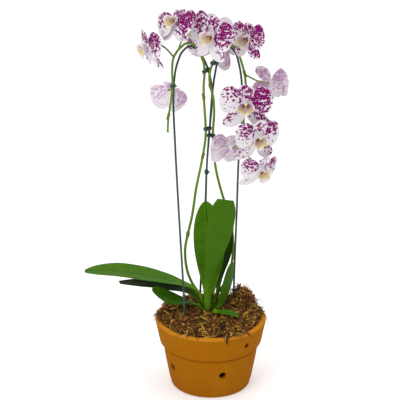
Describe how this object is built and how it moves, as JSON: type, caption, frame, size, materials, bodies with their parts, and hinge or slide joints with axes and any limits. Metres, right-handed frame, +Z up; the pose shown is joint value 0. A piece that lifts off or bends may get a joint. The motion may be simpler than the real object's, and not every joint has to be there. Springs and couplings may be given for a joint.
{
  "type": "potted moth orchid",
  "caption": "Moth orchid in a clay pot: flower spikes trained over wire hoops carry spotted white and purple blooms above a fan of thick green leaves; stands on a table.",
  "frame": {"origin": "centre of the pot's flat underside, on the surface that the pot stands on", "axes": "+Z up, -Y towards the viewer of the picture, +X to that viewer's right"},
  "size_m": [0.3061, 0.17, 0.5999],
  "materials": {
    "clay": "matte",
    "medium": "matte",
    "leaf": "satin",
    "crown": "satin",
    "stem": "satin",
    "coated_wire": "satin",
    "petal": "matte",
    "lip": "matte"
  },
  "bodies": {
    "root": {"pot": "clay", "growing_medium": "medium", "crown": "crown", "leaf_long_left": "leaf", "leaf_under_left": "leaf", "leaf_front_left": "leaf", "leaf_upright_left": "leaf", "leaf_front": "leaf", "leaf_back_right": "leaf", "leaf_right": "leaf", "leaf_low_right": "leaf", "leaf_stub": "leaf", "flower_spike_a": "stem", "flower_spike_b": "stem", "hoop_left": "coated_wire", "hoop_right": "coated_wire", "clip_1": "coated_wire", "clip_2": "coated_wire", "clip_3": "coated_wire", "clip_4": "coated_wire", "clip_5": "coated_wire", "clip_6": "coated_wire", "bloom_01_tepals": "petal", "bloom_01_lip": "lip", "bloom_02_tepals": "petal", "bloom_02_lip": "lip", "bloom_03_tepals": "petal", "bloom_03_lip": "lip", "bloom_04_tepals": "petal", "bloom_04_lip": "lip", "bloom_05_tepals": "petal", "bloom_05_lip": "lip", "bloom_06_tepals": "petal", "bloom_06_lip": "lip", "bloom_07_tepals": "petal", "bloom_07_lip": "lip", "bloom_08_tepals": "petal", "bloom_08_lip": "lip", "bloom_09_tepals": "petal", "bloom_09_lip": "lip", "bloom_10_tepals": "petal", "bloom_10_lip": "lip", "bloom_11_tepals": "petal", "bloom_11_lip": "lip", "bloom_12_tepals": "petal", "bloom_12_lip": "lip"}
  },
  "joints": []
}
